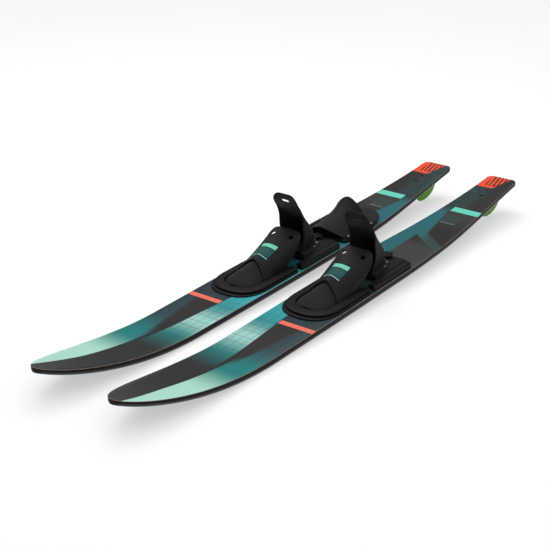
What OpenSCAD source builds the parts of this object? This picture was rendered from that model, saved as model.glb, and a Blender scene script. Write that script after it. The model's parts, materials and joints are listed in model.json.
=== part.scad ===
// Pair of combo water skis with adjustable bindings.
// The tips point along -Y and the tails along +Y, so the wearer faces -Y.
// The left ski stands at +X. Each ski's lengthwise places are distances from its tip.
// The running base lies level, z = 0 is the height of the fins' lowest points, and the
// origin is midway between the skis at half their length.

/* [Skis] */
// Length of each ski
ski_len = 1700; // [1690:5:1730]
// Distance between the two skis' centre lines
stance = 222; // [190:1:400]
// Half of a ski's width at its forward shoulder
shoulder_w = 76; // [74:0.5:80]
// Extra half width at the bindings, over the shoulder
binding_flare = 4; // [2:0.5:6]
// How much each side narrows from the bindings to the tail
tail_taper = 34; // [28:1:38]
// Length of the rounded tip in plan
tip_round = 376; // [340:4:400]
// Height of the tip's deck over the middle deck
tip_kick = 81; // [60:1:95]
// Length of the upturned tip
tip_curve = 450; // [420:5:480]
// Height of the tail's deck over the middle deck
tail_kick = 29; // [15:0.5:32]
// Thickness of the ski under the bindings
ski_t = 19; // [18:0.5:21]
// Thickness of the top and base sheets
sheet_t = 1.2; // [0.8:0.1:1.5]
// Width and height of the bevel along the base edges
bevel = 6; // [4:0.5:7]
// Depth of the tunnel along the base
tunnel_d = 3; // [2:0.5:3.5]

/* [Fins] */
// Length of a fin at its root
fin_len = 132; // [110:2:150]
// Depth of a fin below the base
fin_depth = 70; // [50:1:80]
// Thickness of a fin's blade
fin_t = 7; // [5:0.5:9]
// Distance from the tip to the middle of the fin
fin_at = 1620; // [1610:1:1625]

/* [Toe piece] */
// Distance from the tip to the front of the toe plate
toe_front = 628; // [620:1:632]
// Half width of the toe plate
toe_w = 76; // [72:1:77]
// Length of the toe plate
toe_len = 222; // [218:1:226]
// Thickness of the toe plate
toe_plate_t = 4; // [3.5:0.5:5]
// Thickness of the clamp ring
ring_t = 4; // [3.5:0.5:5]
// Thickness of the rubber and fabric uppers
skin = 3; // [2.5:0.25:3.5]
// Height of the instep strap at its rear edge, over the toe plate
strap_h = 78; // [72:1:82]

/* [Heel unit] */
// Distance from the tip to the front of the heel rails
rail_front = 861; // [859:1:865]
// Length of the heel rails
rail_len = 174; // [170:1:178]
// Distance from the tip to the front of the sliding heel plate
slide_front = 908; // [906:1:912]
// Length of the sliding heel plate
slide_len = 140; // [138:1:142]
// Height of the heel cuff over the sliding plate
cuff_h = 174; // [165:1:182]
// Pitch of the size rack's teeth
rack_pitch = 6; // [5:0.5:8]

/* [Rear toe strap] */
// Distance from the tip to the front of the rear toe plate
rear_front = 1068; // [1067:1:1072]
// Length of the rear toe plate
rear_len = 156; // [150:1:158]
// Height of the rear strap's hood over its plate
hood_h = 77; // [68:1:82]

/* [Hidden] */

left = 1;
right = -1;
gap = 0.05;   // clearance of a held screw, insert or pin in its hole
deck = ski_t; // height of the flat deck
$fn = 32;

rubber = [0.09, 0.09, 0.10];
hard = [0.13, 0.13, 0.14];
steel = [0.72, 0.72, 0.74];
brass = [0.78, 0.62, 0.28];
lime = [0.35, 0.62, 0.10];
teal = [0.12, 0.45, 0.45];
wall = [0.20, 0.17, 0.16];

// ---------------------------------------------------------------- shared shapes

function mix(a, b, t) = a + (b - a) * t;
function ease(x) = let (t = min(max(x, 0), 1)) t * t * (3 - 2 * t);
function over(x) = max(x, 0);
function bow(x, power) = sign(x) * pow(abs(x), power);

// Moves a ski's own frame, centred on its tip, to its side of the pair.
module place(side) {
    translate([side * stance / 2, -(nose + ski_len) / 2, -fin_low]) children();
}

// Closed sheet between two grids of points with the same rows and columns.
// Rows run along the sheet and columns across it; "up" lies on the rows x columns side.
module sheet(low, up) {
    rows = len(low) - 1;
    cols = len(low[0]) - 1;
    across = cols + 1;
    top = (rows + 1) * across;
    function at(i, j) = i * across + j;
    skins = [for (i = [0:rows - 1]) for (j = [0:cols - 1]) each
        let (a = at(i, j), b = at(i + 1, j), c = at(i + 1, j + 1), d = at(i, j + 1))
        [[top + a, top + b, top + c], [top + a, top + c, top + d], [a, c, b], [a, d, c]]];
    ends = [for (j = [0:cols - 1]) each
        let (a = at(0, j), b = at(0, j + 1), c = at(rows, j), d = at(rows, j + 1))
        [[a, top + a, top + b], [a, top + b, b], [c, top + d, top + c], [c, d, top + d]]];
    sides = [for (i = [0:rows - 1]) each
        let (a = at(i, 0), b = at(i + 1, 0), c = at(i, cols), d = at(i + 1, cols))
        [[a, top + b, top + a], [a, b, top + b], [c, top + c, top + d], [c, top + d, d]]];
    points = concat([for (row = low) each row], [for (row = up) each row]);
    polyhedron(points, concat(skins, ends, sides), convexity = 6);
}

// Bar along Y with a constant section given in x and z.
module bar_along_y(from, length, section) {
    translate([0, from + length, 0]) rotate([90, 0, 0]) linear_extrude(length) polygon(section);
}

// Round bar along X, centred on x = 0.
module pin_along_x(r, length) {
    rotate([0, 90, 0]) cylinder(r = r, h = length, center = true);
}

// Socket screw: the head's underside is at z = 0 and the shank hangs below.
module screw(r, length, head_r, head_h) {
    difference() {
        union() {
            translate([0, 0, -length]) cylinder(r = r, h = length);
            cylinder(r = head_r, h = head_h);
        }
        translate([0, 0, head_h * 0.4]) cylinder(r = r * 0.75, h = head_h, $fn = 6);
    }
}

module at_each(spots) {
    for (p = spots) translate([p[0], p[1], 0]) children();
}

function both_sides(spots) = [for (p = spots) each [[-p[0], p[1]], [p[0], p[1]]]];

// ---------------------------------------------------------------- ski body

tail_corner = 16;
tail_start = 1230;
tip_t = 5.3;
tail_t = 4.4;

function half_width(s) =
    let (corner = over(s - ski_len + tail_corner))
    (shoulder_w + binding_flare * ease((s - 300) / 500) - tail_taper * ease((s - 1000) / 750))
        * sqrt(1 - pow(over(1 - s / tip_round), 2.39))
        - (tail_corner - sqrt(tail_corner * tail_corner - corner * corner));

function deck_z(s) =
    deck + tip_kick * pow(over(1 - s / tip_curve), 1.87)
        + tail_kick * pow(over(s - tail_start) / (ski_len - tail_start), 1.66);

function body_t(s) =
    ski_t - tip_t * pow(over(1 - s / tip_curve), 1.5) - tail_t * ease((s - 1200) / 500);

function base_z(s) = deck_z(s) - body_t(s);

// The base's section: bevel, flat, tunnel wall, tunnel roof, and the same back again.
function base_section(s) =
    let (w = half_width(s), edge = min(bevel, w * 0.3), lip = min(26, w * 0.55),
         roof = min(15, w * 0.3), deep = tunnel_d * ease((s - 120) / 200))
    [[-w, edge], [-(w - edge), 0], [-lip, 0], [-roof, deep],
     [roof, deep], [lip, 0], [w - edge, 0], [w, edge]];

nose = 0.6;
stations = concat(
    [for (i = [0:9]) mix(nose, tip_curve, pow(i / 10, 1.8))],
    [for (i = [0:12]) mix(tip_curve, tail_start, i / 13)],
    [for (i = [0:8]) mix(tail_start, ski_len - tail_corner, i / 9)],
    [for (i = [0:4]) ski_len - tail_corner * (1 - sin(22.5 * i))]
);

// Grid through the body, `lift` over the base sheet's outer face.
function base_grid(lift) =
    [for (s = stations) [for (p = base_section(s)) [p[0], s, base_z(s) + p[1] + lift]]];
function deck_grid(drop) =
    [for (s = stations) [for (p = base_section(s)) [p[0], s, deck_z(s) - drop]]];

insert_r = 4;
insert_h = 10;
thread_r = 2.2;

bow_centre = toe_front + 95;
ring_bow = 40;
ring_spots = both_sides([
    [57 * pow(sin(ring_bow), 0.8), bow_centre - 64 * pow(cos(ring_bow), 0.8)],
    [57, bow_centre - 4], [57, bow_centre + 55], [57, bow_centre + 116]
]);
rail_x = 68.5;
rail_bolts = [for (y = [20, rail_len / 2, rail_len - 20]) rail_front + y];
rail_spots = both_sides([for (s = rail_bolts) [rail_x, s]]);
rack_spots = [[0, rail_front + 12], [0, rail_front + rail_len - 3]];
rear_spots = both_sides([for (y = [22, 78, 134]) [66.3, rear_front + y]]);

function insert_spots(side) =
    concat(ring_spots, rail_spots, rack_spots, side == right ? rear_spots : []);

module insert_holes(side, r) {
    at_each(insert_spots(side)) translate([0, 0, deck - sheet_t - insert_h])
        cylinder(r = r, h = insert_h + ski_t);
}

// The fin's own frame: its root on the tunnel roof, tilted with the tail.
fin_tilt = atan((base_z(fin_at + 30) - base_z(fin_at - 30)) / 60);
fin_bolts = [-58, -19, 22];
module fin_frame() {
    translate([0, fin_at, base_z(fin_at) + tunnel_d]) rotate([fin_tilt, 0, 0]) children();
}
module fin_bolt_holes(r, head_r) {
    seat = body_t(fin_at) - tunnel_d - 5;
    fin_frame() for (y = fin_bolts) translate([0, y, -1]) {
        cylinder(r = r, h = 40);
        translate([0, 0, seat + 1]) cylinder(r = head_r, h = 30);
    }
}

module ski_core(side) {
    color(wall) place(side) difference() {
        sheet(base_grid(sheet_t), deck_grid(sheet_t));
        insert_holes(side, insert_r + gap);
        fin_bolt_holes(thread_r + gap, 4.6);
    }
}

module top_sheet(side) {
    color(teal) place(side) difference() {
        sheet(deck_grid(sheet_t), deck_grid(0));
        insert_holes(side, thread_r + gap);
        fin_bolt_holes(thread_r + gap, 4.6);
    }
}

module base_sheet(side) {
    color(hard) place(side) difference() {
        sheet(base_grid(0), base_grid(sheet_t));
        fin_bolt_holes(thread_r + gap, 4.6);
    }
}

module threaded_inserts(side) {
    color(brass) place(side) at_each(insert_spots(side))
        translate([0, 0, deck - sheet_t - insert_h]) difference() {
            cylinder(r = insert_r, h = insert_h);
            translate([0, 0, 1]) cylinder(r = thread_r + gap, h = insert_h);
        }
}

// ---------------------------------------------------------------- fin

fin_foot_t = tunnel_d;
fin_root_t = 16;

// Half oval blade, a little fuller than an ellipse.
fin_outline = [for (a = [0:9:180])
    [fin_len / 2 * bow(cos(a), 0.75), -fin_depth * pow(sin(a), 0.75) - fin_foot_t]];
fin_low = base_z(fin_at) + tunnel_d
    + min([for (p = fin_outline) p[0] * sin(fin_tilt) + p[1] * cos(fin_tilt)]);

module fin(side) {
    color(lime) place(side) fin_frame() difference() {
        union() {
            rotate([90, 0, 90]) linear_extrude(fin_t, center = true) polygon(fin_outline);
            translate([-13, -fin_len / 2 - 4, -fin_foot_t]) cube([26, fin_len + 8, fin_foot_t - gap]);
            translate([0, 0, -fin_foot_t]) for (y = fin_bolts)
                translate([0, y, -fin_root_t]) cylinder(r = 5.5, h = fin_root_t);
        }
        for (y = fin_bolts) translate([0, y, -fin_root_t]) cylinder(r = 3.2 + gap, h = 40);
    }
}

module fin_inserts(side) {
    color(brass) place(side) fin_frame() for (y = fin_bolts) translate([0, y, -fin_root_t + 1])
        difference() {
            cylinder(r = 3.2, h = fin_root_t - 2);
            translate([0, 0, -1]) cylinder(r = thread_r + gap, h = fin_root_t + 2);
        }
}

module fin_screws(side) {
    color(steel) place(side) fin_frame() for (y = fin_bolts)
        translate([0, y, body_t(fin_at) - tunnel_d - 5]) screw(thread_r, 22, 4.4, 3);
}

// ---------------------------------------------------------------- toe piece

toe_rear = toe_front + toe_len;
plate_top = deck + toe_plate_t;
ring_bottom = plate_top + skin;
opening_w = 50.6;
opening_d = 56;

// Plan of the toe piece: a rounded bow, straight sides and rounded rear corners.
function toe_plan(w, depth, rear, corner) = concat(
    [for (a = [-90:7.5:90]) [w * bow(sin(a), 0.8), bow_centre - depth * pow(cos(a), 0.8)]],
    [for (a = [0:15:90]) [w - corner + corner * cos(a), rear - corner + corner * sin(a)]],
    [for (a = [90:15:180]) [-w + corner + corner * cos(a), rear - corner + corner * sin(a)]]
);

module toe_base_plate(side) {
    color(hard) place(side) translate([0, 0, deck]) difference() {
        linear_extrude(toe_plate_t) polygon(toe_plan(toe_w, 95, toe_rear, 12));
        at_each(ring_spots) translate([0, 0, -1]) cylinder(r = thread_r + gap, h = 20);
    }
}

module toe_footbed(side) {
    color(rubber) place(side) translate([0, toe_front + 58, plate_top])
        linear_extrude(4) polygon(concat(
            [for (a = [-90:10:90]) [38 * bow(sin(a), 0.8), 60 - 60 * pow(cos(a), 0.8)]],
            [[38, 158], [-38, 158]]));
}

// Rubber edge under the clamp ring, between two distances from the tip.
module clamped_edge(from, to, inner_w, inner_d) {
    translate([0, 0, plate_top]) intersection() {
        difference() {
            linear_extrude(skin) polygon(toe_plan(toe_w - 9, 80, toe_rear - 6, 9));
            translate([0, 0, -1]) linear_extrude(skin + 2)
                polygon(toe_plan(inner_w, inner_d, toe_rear + 40, 5));
        }
        translate([-100, from, -1]) cube([200, to - from, skin + 2]);
    }
}

// Rows of points over an arch. `front` and `rear` hold each edge's place at the foot and the
// top, and `rear` also the power its slant follows. `wide`, `bulge` and `high` depend on the
// place s, and `power` on the share t along the arch.
function arch(front, rear, wide, bulge, high, power, rows, cols, base) =
    [for (i = [0:rows]) [for (j = [0:cols])
        let (t = i / rows, p = power(t), a = 180 - 180 * j / cols, q = pow(sin(a), p),
             s = mix(mix(front[0], front[1], q), mix(rear[0], rear[1], pow(q, rear[2])), t))
        [(wide(s) + bulge(s) * ease(q / 0.6)) * bow(cos(a), p), s, base + high(s) * q]]];

// Closed shell between that arch and one `wall` inside it.
module arch_shell(front, rear, wide, bulge, high, power, rows, cols, base, wall) {
    wide_in = function (s) wide(s) - wall;
    high_in = function (s) high(s) - wall;
    sheet(arch(front, rear, wide_in, bulge, high_in, power, rows, cols, base),
          arch(front, rear, wide, bulge, high, power, rows, cols, base));
}

strap_front = toe_front + 106;
box_front = toe_front + 42;
box_rear = toe_front + 144;
module toe_box(side) {
    wide = function (s) mix(49.4, 45.6, ease((s - box_front - 35) / 28))
        * pow(1 - pow(over(bow_centre - s) / opening_d, 2.5), 0.4);
    high = function (s) 8 + 36 * sin(90 * (s - box_front) / (box_rear - box_front));
    flat = function (s) 0;
    round = function (t) mix(1, 1.5, ease(t / 0.6));
    color(rubber) place(side) difference() {
        union() {
            arch_shell([box_front, box_front], [box_rear, box_rear, 1],
                       wide, flat, high, round, 10, 16, plate_top, skin);
            clamped_edge(toe_front, strap_front - 2, 48.4, opening_d - 2);
        }
        at_each(ring_spots) cylinder(r = thread_r + gap, h = 60);
    }
}

strap_rear = toe_front + 276;
strap_front_h = strap_h - 30;
module toe_strap(side) {
    wide = function (s) 49.3;
    bulge = function (s) 4.2 * ease((s - strap_front) / 169);
    high = function (s) mix(strap_front_h, strap_h, (s - strap_front - 16) / 143);
    round = function (t) mix(1.49, 0.38, t);
    color(rubber) place(side) difference() {
        union() {
            arch_shell([strap_front - 0.5, strap_front + 20], [toe_front + 179, strap_rear, 0.95],
                       wide, bulge, high, round, 9, 24, plate_top, skin);
            clamped_edge(strap_front - 0.5, toe_rear, 48.2, opening_d);
        }
        for (turn = [-1, 1]) translate([27 * turn, strap_rear - 28, plate_top + 66])
            rotate([0, 14 * turn, 0]) cylinder(r = 7, h = 40, center = true);
        at_each(ring_spots) cylinder(r = thread_r + gap, h = 60);
    }
}

module toe_clamp_ring(side) {
    color(hard) place(side) translate([0, 0, ring_bottom]) difference() {
        linear_extrude(ring_t) polygon(toe_plan(toe_w - 6, 83, toe_rear - 3, 11));
        translate([0, 0, -1]) linear_extrude(ring_t + 2)
            polygon(toe_plan(opening_w, opening_d, toe_rear + 40, 5));
        at_each(ring_spots) {
            translate([0, 0, -1]) cylinder(r = thread_r + gap, h = 20);
            translate([0, 0, ring_t - 1.8]) cylinder(r = 4, h = 20);
        }
    }
}

module ring_screws(side) {
    color(steel) place(side) at_each(ring_spots)
        translate([0, 0, ring_bottom + ring_t - 1.8]) screw(thread_r, 18, 3.8, 2.2);
}

// ---------------------------------------------------------------- heel rails and rack

rail_in = 54;
rail_out = 75;
rail_h = 14;
groove_low = 4;
groove_high = 10;
groove_d = 8;

// `hand` is +1 for the rail on the +X side of its ski and -1 for the other.
module heel_rail(side, hand) {
    section = [for (p = [
        [rail_in, 0], [rail_out, 0], [rail_out, rail_h - 3], [rail_out - 3, rail_h],
        [rail_in + 2, rail_h], [rail_in, rail_h - 2], [rail_in, groove_high],
        [rail_in + groove_d, groove_high], [rail_in + groove_d, groove_low], [rail_in, groove_low]
    ]) [p[0] * hand, p[1] + deck]];
    color(hard) place(side) difference() {
        bar_along_y(rail_front, rail_len, section);
        for (s = rail_bolts) translate([rail_x * hand, s, deck]) {
            translate([0, 0, -1]) cylinder(r = thread_r + gap, h = 20);
            translate([0, 0, rail_h - 3.2]) cylinder(r = 4.2, h = 20);
        }
    }
}

module rail_screws(side) {
    color(steel) place(side) at_each(rail_spots)
        translate([0, 0, deck + rail_h - 3.2]) screw(thread_r, 18, 4, 3);
}

rack_t = 3.6;
tooth_d = 1.8;
module size_rack(side) {
    first = rail_front + 24;
    count = floor((rail_len - 34) / rack_pitch);
    color(steel) place(side) difference() {
        translate([-9, rail_front + 4, deck]) cube([18, rail_len + 6, rack_t]);
        for (i = [0:count - 1]) translate([-6, first + i * rack_pitch, deck + rack_t - tooth_d])
            cube([12, rack_pitch * 0.55, tooth_d + 1]);
        at_each(rack_spots) {
            translate([0, 0, deck - 1]) cylinder(r = thread_r + gap, h = 20);
            translate([0, 0, deck + 1.6]) cylinder(r = 4.2, h = 20);
        }
    }
}

module rack_screws(side) {
    color(steel) place(side) at_each(rack_spots)
        translate([0, 0, deck + 1.6]) screw(thread_r, 9, 4, 1.8);
}

// ---------------------------------------------------------------- sliding heel unit

slide_low = deck + groove_low + 0.2;
slide_top = deck + 12;
slide_rear = slide_front + slide_len;
pivot_s = slide_rear - 14;
pivot_z = slide_top + 4;
pivot_r = 2;
ear_x = 13;
ear_t = 4.5;
pocket_d = 5;

// The cuff's plan at share x of its height, for v from -1 (right edge) over the back to +1.
function cuff_lean(x) = 119 * ease(pow(x / 1.005, 1.09));
function cuff_wide(x) = 33 + 6.5 * ease(x / 0.3) - 3 * ease((x - 0.75) / 0.25);
function cuff_deep(x) = 93 - 56.3 * ease(x / 0.62) - 36.7 * ease((x - 0.4) / 0.39);
cuff_back = slide_front + 100;
function cuff_at(x, v) =
    [cuff_wide(x) * bow(sin(90 * v), 0.8),
     cuff_back - cuff_lean(x) - cuff_deep(x) * (1 - pow(cos(90 * v), 0.9))];

// Outward direction of that plan.
function cuff_out(x, v) =
    let (e = 0.02, a = cuff_at(x, max(v - e, -1)), b = cuff_at(x, min(v + e, 1)), t = b - a)
    [-t[1], t[0]] / norm(t);
function cuff_off(x, v, off) = cuff_at(x, v) + cuff_out(x, v) * off;

cuff_flange = 11;
cuff_spots = [for (v = [-0.92, -0.62, -0.34, 0.34, 0.62, 0.92]) cuff_off(0, v, cuff_flange / 2 + 1)];
function cuff_rim(v) = 1 - 0.16 * pow(over((abs(v) - 0.15) / 0.85), 2.2);
function cuff_grid(off, rows, cols) =
    [for (i = [0:rows]) [for (j = [0:cols])
        let (v = 1 - 2 * j / cols, x = cuff_rim(v) * i / rows, p = cuff_off(x, v, off))
        [p[0], p[1], slide_top + cuff_h * x]]];

module heel_slide_plate(side) {
    section = [
        [-61.6, slide_low], [61.6, slide_low], [61.6, slide_low + 5.6], [51.5, slide_low + 5.6],
        [51.5, slide_top], [-51.5, slide_top], [-51.5, slide_low + 5.6], [-61.6, slide_low + 5.6]
    ];
    color(hard) place(side) difference() {
        union() {
            bar_along_y(slide_front, slide_len, section);
            for (hand = [-1, 1]) translate([hand * (ear_x + ear_t / 2), pivot_s, pivot_z]) {
                pin_along_x(4, ear_t);
                translate([-ear_t / 2, -4, slide_top - pivot_z - 1])
                    cube([ear_t, 8, pivot_z - slide_top + 1]);
            }
        }
        translate([-ear_x + 1, pivot_s + 3, slide_low - 5]) cube([2 * ear_x - 2, 40, 30]);
        translate([-ear_x + 1, pivot_s - 4.6, slide_top - 1.6]) cube([2 * ear_x - 2, 20, 30]);
        translate([0, pivot_s - 9, slide_top - pocket_d]) cylinder(r = 4.4, h = 20);
        translate([0, pivot_s, pivot_z]) pin_along_x(pivot_r, 60);
        at_each(cuff_spots) translate([0, 0, slide_top - 6]) cylinder(r = 1.6 + gap, h = 40);
    }
}

module heel_pad(side) {
    color(rubber) place(side) translate([0, slide_front + 20, slide_top]) linear_extrude(5)
        polygon(concat([for (a = [0:15:180]) [25 * bow(cos(a), 0.8), 34 + 26 * pow(sin(a), 0.8)]],
                       [[-25, 0], [25, 0]]));
}

module heel_cuff(side) {
    flange = concat([for (v = [-1:0.1:1]) cuff_off(0, v, cuff_flange)],
                    [for (v = [1:-0.1:-1]) cuff_off(0, v, 0.5 - skin)]);
    pull = 0.89;
    away = cuff_at(pull - 0.03, 0)[1] - cuff_at(pull + 0.01, 0)[1];
    aim = -atan2(0.04 * cuff_h, away);
    color(rubber) place(side) difference() {
        union() {
            sheet(cuff_grid(-skin, 16, 16), cuff_grid(0, 16, 16));
            translate([0, 0, slide_top]) linear_extrude(skin) polygon(flange);
        }
        translate([0, cuff_at(pull, 0)[1], slide_top + cuff_h * pull]) rotate([aim, 0, 0]) {
            for (x = [-7, 7]) translate([x, 0, 0]) cylinder(r = 5, h = 40, center = true);
            cube([14, 10, 40], center = true);
        }
        at_each(cuff_spots) translate([0, 0, slide_top - 1]) cylinder(r = 1.6 + gap, h = 10);
    }
}

module cuff_screws(side) {
    color(steel) place(side) at_each(cuff_spots)
        translate([0, 0, slide_top + skin]) screw(1.6, skin + 5, 3.4, 2);
}

// Lever: a front arm over the spring, the pivot boss, a finger tab, and a pawl over the rack.
lever_w = 2 * ear_x - 3;
module lock_lever(side) {
    arm = [[-12, 0.5], [-4.5, 0.5], [-3, -2], [3, -3], [6, 0], [18, 1], [18, 4], [-12, 3.5]];
    pawl_low = deck + rack_t + 0.3;
    color(hard) place(side) difference() {
        union() {
            translate([0, pivot_s, pivot_z]) pin_along_x(3.8, lever_w);
            translate([-lever_w / 2, pivot_s, pivot_z]) rotate([90, 0, 90])
                linear_extrude(lever_w) polygon(arm);
            translate([-5, pivot_s + 6, pawl_low]) cube([10, 3, pivot_z + 1 - pawl_low]);
        }
        translate([0, pivot_s, pivot_z]) pin_along_x(pivot_r + gap, 60);
    }
}

module lever_pin(side) {
    color(steel) place(side) translate([0, pivot_s, pivot_z]) pin_along_x(pivot_r, 2 * (ear_x + ear_t));
}

spring_r = 2.8;
wire_r = 0.5;
spring_turns = 5;
// Compression spring: a round wire swept along a helix between the plate and the lever's arm.
module lever_spring(side) {
    steps = spring_turns * 12;
    rise = pivot_z + 0.5 - slide_top + pocket_d - 2 * wire_r - 0.2;
    ring = 6;
    function wire(i, k) =
        let (a = 30 * i, b = 360 * k / ring, r = spring_r + wire_r * cos(b))
        [r * cos(a), r * sin(a), wire_r + 0.05 + rise * i / steps + wire_r * sin(b)];
    points = [for (i = [0:steps]) for (k = [0:ring - 1]) wire(i, k)];
    tube = [for (i = [0:steps - 1]) for (k = [0:ring - 1]) each
        let (n = (k + 1) % ring, a = i * ring + k, b = i * ring + n, c = a + ring, d = b + ring)
        [[a, b, d], [a, d, c]]];
    caps = [[for (k = [ring - 1:-1:0]) k], [for (k = [0:ring - 1]) steps * ring + k]];
    color(steel) place(side) translate([0, pivot_s - 9, slide_top - pocket_d])
        polyhedron(points, concat(tube, caps), convexity = 6);
}

// ---------------------------------------------------------------- rear toe strap

rear_end = rear_front + rear_len;
rear_top = deck + 6;
rear_skin = 3.5;
hood_w = 60;
strip_t = 3;

module rear_toe_plate() {
    corner = 14;
    w = 72.5;
    outline = [for (c = [[1, 1], [-1, 1], [-1, -1], [1, -1]]) for (a = [0:15:90])
        let (turn = c[0] == c[1] ? a : 90 - a)
        [c[0] * (w - corner + corner * cos(turn)),
         rear_front + rear_len / 2 + c[1] * (rear_len / 2 - corner + corner * sin(turn))]];
    color(hard) place(right) translate([0, 0, deck]) difference() {
        linear_extrude(rear_top - deck) polygon(outline);
        at_each(rear_spots) translate([0, 0, -1]) cylinder(r = thread_r + gap, h = 20);
    }
}

module rear_toe_pad() {
    color(rubber) place(right) translate([-46, rear_front + 12, rear_top]) cube([92, rear_len - 40, 4]);
}

module rear_toe_hood() {
    foot = [rear_front + 14, rear_front + 134];
    wide = function (s) mix(hood_w, hood_w - 6.4, ease((s - foot[0]) / (foot[1] - foot[0])));
    flat = function (s) 0;
    high = function (s) mix(hood_h - 43, hood_h, pow(over(s - rear_front + 18) / 138, 3));
    round = function (t) mix(1.55, 1.24, t);
    color(rubber) place(right) difference() {
        union() {
            arch_shell([foot[0], rear_front - 18], [foot[1], rear_front + 120, 0.75],
                       wide, flat, high, round, 10, 20, rear_top, rear_skin);
            for (hand = [-1, 1]) translate([hand * 60 - 11.5, rear_front + 14, rear_top])
                cube([23, 128, rear_skin]);
        }
        at_each(rear_spots) cylinder(r = thread_r + gap, h = 60);
    }
}

// Rubber tongue behind the hood that the heel of the hand pulls to enter the strap.
module rear_toe_tongue() {
    from = rear_front + 143;
    tip = rear_front + 217;
    round = 60;
    function shape(lift) = [for (i = [0:12]) let (t = i / 12, s = mix(from, tip - 1, t),
        w = 56 * pow(1 - pow(over(s - tip + round) / round, 2), 0.5))
        [for (x = [-1:0.5:1]) [12 + x * w, s, rear_top + lift + 5 * pow(t, 1.5)]]];
    color(rubber) place(right) sheet(shape(0), shape(rear_skin));
}

module rear_clamp_strips() {
    color(hard) place(right) for (hand = [-1, 1]) difference() {
        translate([hand * 66.3 - 5, rear_front + 14, rear_top + rear_skin]) cube([10, 128, strip_t]);
        at_each(rear_spots) translate([0, 0, deck]) cylinder(r = thread_r + gap, h = 40);
    }
}

module rear_toe_screws() {
    color(steel) place(right) at_each(rear_spots)
        translate([0, 0, rear_top + rear_skin + strip_t]) screw(thread_r, 19, 4.2, 2.4);
}

// ---------------------------------------------------------------- nodes

ski_core(right);  // ski_core_right
top_sheet(right);  // top_sheet_right
base_sheet(right);  // base_sheet_right
threaded_inserts(right);  // threaded_inserts_right
fin(right);  // fin_right
fin_inserts(right);  // fin_inserts_right
fin_screws(right);  // fin_screws_right
toe_base_plate(right);  // toe_base_plate_right
toe_footbed(right);  // toe_footbed_right
toe_box(right);  // toe_box_right
toe_strap(right);  // toe_strap_right
toe_clamp_ring(right);  // toe_clamp_ring_right
ring_screws(right);  // ring_screws_right
heel_rail(right, right);  // heel_rail_outer_right
heel_rail(right, left);  // heel_rail_inner_right
rail_screws(right);  // rail_screws_right
size_rack(right);  // size_rack_right
rack_screws(right);  // rack_screws_right
heel_slide_plate(right);  // heel_slide_plate_right
heel_pad(right);  // heel_pad_right
heel_cuff(right);  // heel_cuff_right
cuff_screws(right);  // cuff_screws_right
lock_lever(right);  // lock_lever_right
lever_pin(right);  // lever_pin_right
lever_spring(right);  // lever_spring_right
rear_toe_plate();
rear_toe_pad();
rear_toe_hood();
rear_toe_tongue();
rear_clamp_strips();
rear_toe_screws();
ski_core(left);  // ski_core_left
top_sheet(left);  // top_sheet_left
base_sheet(left);  // base_sheet_left
threaded_inserts(left);  // threaded_inserts_left
fin(left);  // fin_left
fin_inserts(left);  // fin_inserts_left
fin_screws(left);  // fin_screws_left
toe_base_plate(left);  // toe_base_plate_left
toe_footbed(left);  // toe_footbed_left
toe_box(left);  // toe_box_left
toe_strap(left);  // toe_strap_left
toe_clamp_ring(left);  // toe_clamp_ring_left
ring_screws(left);  // ring_screws_left
heel_rail(left, left);  // heel_rail_outer_left
heel_rail(left, right);  // heel_rail_inner_left
rail_screws(left);  // rail_screws_left
size_rack(left);  // size_rack_left
rack_screws(left);  // rack_screws_left
heel_slide_plate(left);  // heel_slide_plate_left
heel_pad(left);  // heel_pad_left
heel_cuff(left);  // heel_cuff_left
cuff_screws(left);  // cuff_screws_left
lock_lever(left);  // lock_lever_left
lever_pin(left);  // lever_pin_left
lever_spring(left);  // lever_spring_left
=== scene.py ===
"""Looks for the water ski pair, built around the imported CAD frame.

Places on a ski are (u, s, z) in millimetres: u is sideways from the ski's own centre line
towards +X, s is the distance from its tip, and z is the height over the running base.
"""
import json
import math

import bmesh
import bpy
import numpy as np
from mathutils import Matrix, Vector


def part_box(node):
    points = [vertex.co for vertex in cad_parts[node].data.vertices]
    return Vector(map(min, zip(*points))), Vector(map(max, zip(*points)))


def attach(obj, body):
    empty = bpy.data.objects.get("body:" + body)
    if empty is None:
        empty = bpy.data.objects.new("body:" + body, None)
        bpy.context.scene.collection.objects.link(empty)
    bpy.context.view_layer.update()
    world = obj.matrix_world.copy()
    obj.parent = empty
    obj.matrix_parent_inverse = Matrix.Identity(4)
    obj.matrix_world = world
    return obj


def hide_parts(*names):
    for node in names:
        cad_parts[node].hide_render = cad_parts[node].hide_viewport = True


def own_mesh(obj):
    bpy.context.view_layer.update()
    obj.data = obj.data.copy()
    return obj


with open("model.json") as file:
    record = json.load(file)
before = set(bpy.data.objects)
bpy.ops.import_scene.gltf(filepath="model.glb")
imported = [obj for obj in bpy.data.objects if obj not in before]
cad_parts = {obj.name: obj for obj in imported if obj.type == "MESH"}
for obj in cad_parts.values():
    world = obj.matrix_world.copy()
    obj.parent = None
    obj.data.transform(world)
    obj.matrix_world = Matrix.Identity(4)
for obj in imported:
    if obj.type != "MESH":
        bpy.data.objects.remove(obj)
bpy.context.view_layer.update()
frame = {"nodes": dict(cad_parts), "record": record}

# ------------------------------------------------------------------ dimensions

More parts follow.
